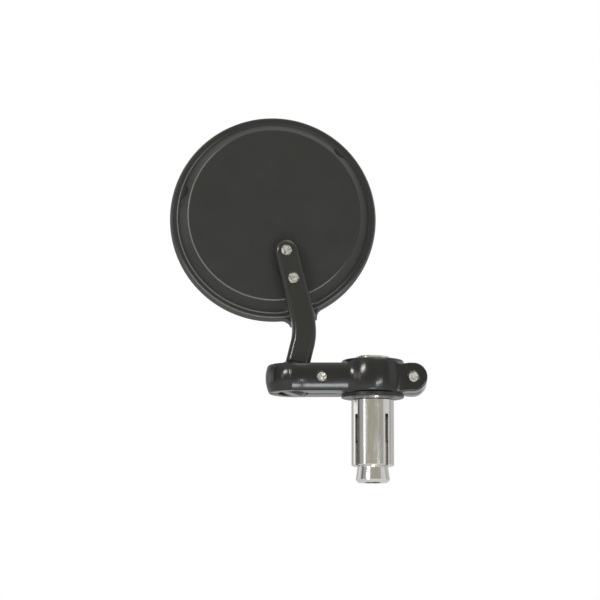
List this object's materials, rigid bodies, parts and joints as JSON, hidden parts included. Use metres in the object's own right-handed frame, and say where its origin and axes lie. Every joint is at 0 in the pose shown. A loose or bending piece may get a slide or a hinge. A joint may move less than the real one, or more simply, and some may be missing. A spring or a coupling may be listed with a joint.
{
  "type": "motorcycle bar end mirror",
  "caption": "Round rear-view mirror on a cranked stem, held by a ball joint in a split clamp on an expanding plug for a handlebar's end.",
  "frame": {"origin": "on the plug's axis, at the upper end of the sleeve's full diameter, 0.95 mm below the collar that stops against the handlebar's end", "axes": "+Z along the plug's axis, out of the handlebar and towards the head; +Y the way the mirror glass faces; +X from the ball joint towards the plug"},
  "size_m": [0.1004, 0.0315, 0.1454],
  "materials": {
    "turned_aluminium": "turned, satin to bright",
    "zinc_steel": "zinc plated, bright",
    "black_collar": "black anodised, satin",
    "black_clamp": "die cast, semi-gloss black paint",
    "black_stem": "die cast, semi-gloss black paint",
    "black_housing": "die cast, satin black paint",
    "nylon": "moulded, matt",
    "ball_steel": "blackened, satin",
    "foam": "closed-cell foam, matt",
    "mirror": "silvered glass",
    "seal_rubber": "moulded, matt"
  },
  "bodies": {
    "plug": {"expander_sleeve": "turned_aluminium", "expander_washer": "zinc_steel", "bar_end_collar": "black_collar"},
    "screw": {"expander_screw": "zinc_steel"},
    "nut": {"cone_nut": "turned_aluminium"},
    "clamp": {"clamp_front": "black_clamp", "clamp_rear": "black_clamp", "clamp_screw_inner": "zinc_steel", "clamp_screw_outer": "zinc_steel", "clamp_washer_inner": "zinc_steel", "clamp_washer_outer": "zinc_steel"},
    "seat": {"ball_seat": "nylon"},
    "ball": {"ball_stud": "ball_steel"},
    "head": {"stem": "black_stem", "housing": "black_housing", "head_screw_upper": "zinc_steel", "head_screw_lower": "zinc_steel", "head_washer_upper": "zinc_steel", "head_washer_lower": "zinc_steel", "glass_pad": "foam", "mirror_glass": "mirror", "rim_seal": "seal_rubber"}
  },
  "joints": [
    {"name": "clamp_swivel", "type": "hinge", "parent": "plug", "child": "clamp", "pos_m": [0, 0, 0.0085], "axis": [0, 0, 1], "continuous": true},
    {"name": "seat_turn", "type": "hinge", "parent": "clamp", "child": "seat", "pos_m": [-0.03075, 0, 0.0085], "axis": [0, 0, 1], "continuous": true},
    {"name": "ball_lean", "type": "hinge", "parent": "seat", "child": "ball", "pos_m": [-0.03075, 0, 0.0085], "axis": [-0.0628, 0.998, -0.0105], "range_deg": [-29.8, 2]},
    {"name": "stem_twist", "type": "hinge", "parent": "ball", "child": "head", "pos_m": [-0.03075, 0, 0.0085], "axis": [0.2391, 0.0252, 0.9707], "continuous": true},
    {"name": "expander_screw_turn", "type": "hinge", "parent": "plug", "child": "screw", "pos_m": [0, 0, 0], "axis": [0, 0, 1], "range_deg": [0, 1800]},
    {"name": "cone_nut_slide", "type": "slide", "parent": "plug", "child": "nut", "axis": [0, 0, -1], "range_m": [0, 0.005]}
  ],
  "couplings": [
    {"joint": "cone_nut_slide", "follows": "expander_screw_turn", "m_per_rad": 0.00015915}
  ]
}
